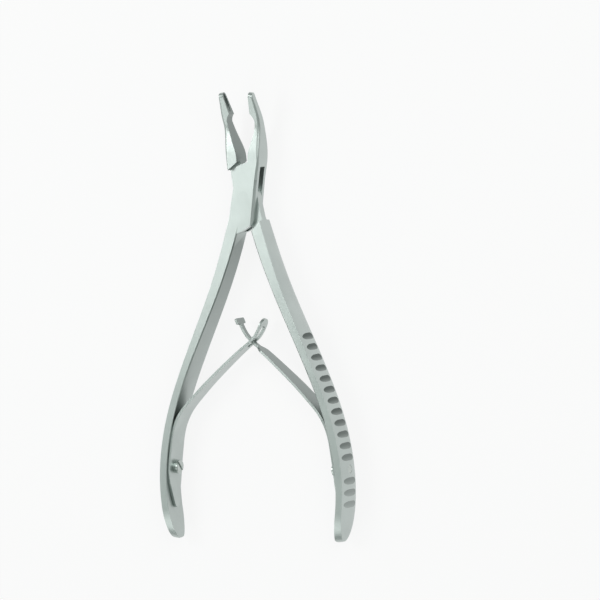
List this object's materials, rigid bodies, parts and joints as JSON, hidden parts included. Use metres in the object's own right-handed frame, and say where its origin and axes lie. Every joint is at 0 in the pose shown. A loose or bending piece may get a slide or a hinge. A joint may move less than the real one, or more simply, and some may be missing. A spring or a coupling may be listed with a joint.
{
  "type": "bone rongeur",
  "caption": "Hand-held bone nibbler with a box joint, side-curved cupped jaws, ribbed bowed handles and a crossed double leaf spring that holds it open.",
  "frame": {"origin": "middle of the instrument's outline, on the surface it lies on with its jaws curving upwards", "axes": "+Y along the instrument towards the jaws, +Z through its thickness towards the side the jaws curve to, +X across the handles; the pivot axis is along Z"},
  "size_m": [0.0698, 0.1468, 0.0112],
  "materials": {
    "box_half_steel": "satin",
    "through_half_steel": "satin",
    "pin_steel": "satin",
    "spring_steel": "satin",
    "screw_steel": "polished"
  },
  "bodies": {
    "box_side": {"box_half": "box_half_steel", "pivot_pin": "pin_steel", "slotted_spring_foot": "spring_steel", "slotted_spring_screw": "screw_steel"},
    "through_side": {"through_half": "through_half_steel", "t_head_spring_foot": "spring_steel", "t_head_spring_screw": "screw_steel"},
    "slotted_leaf": {"slotted_spring_leaf": "spring_steel"},
    "t_head_leaf": {"t_head_spring_leaf": "spring_steel"}
  },
  "joints": [
    {"name": "squeeze", "type": "hinge", "parent": "box_side", "child": "through_side", "pos_m": [0, 0.0393, 0.00475], "axis": [0, 0, -1], "range_deg": [0, 16], "stiffness_Nm_per_rad": 1.5, "springref_deg": -6.88},
    {"name": "slotted_leaf_bend", "type": "hinge", "parent": "box_side", "child": "slotted_leaf", "pos_m": [-0.02696, -0.03316, 0.00475], "axis": [0, 0, 1], "range_deg": [0, 12.4]},
    {"name": "t_head_leaf_bend", "type": "hinge", "parent": "through_side", "child": "t_head_leaf", "pos_m": [0.02696, -0.03316, 0.00475], "axis": [0, 0, -1], "range_deg": [0, 12.4]}
  ],
  "couplings": [
    {"joint": "slotted_leaf_bend", "follows": "squeeze", "ratio": 0.7662},
    {"joint": "t_head_leaf_bend", "follows": "squeeze", "ratio": 0.7662}
  ]
}
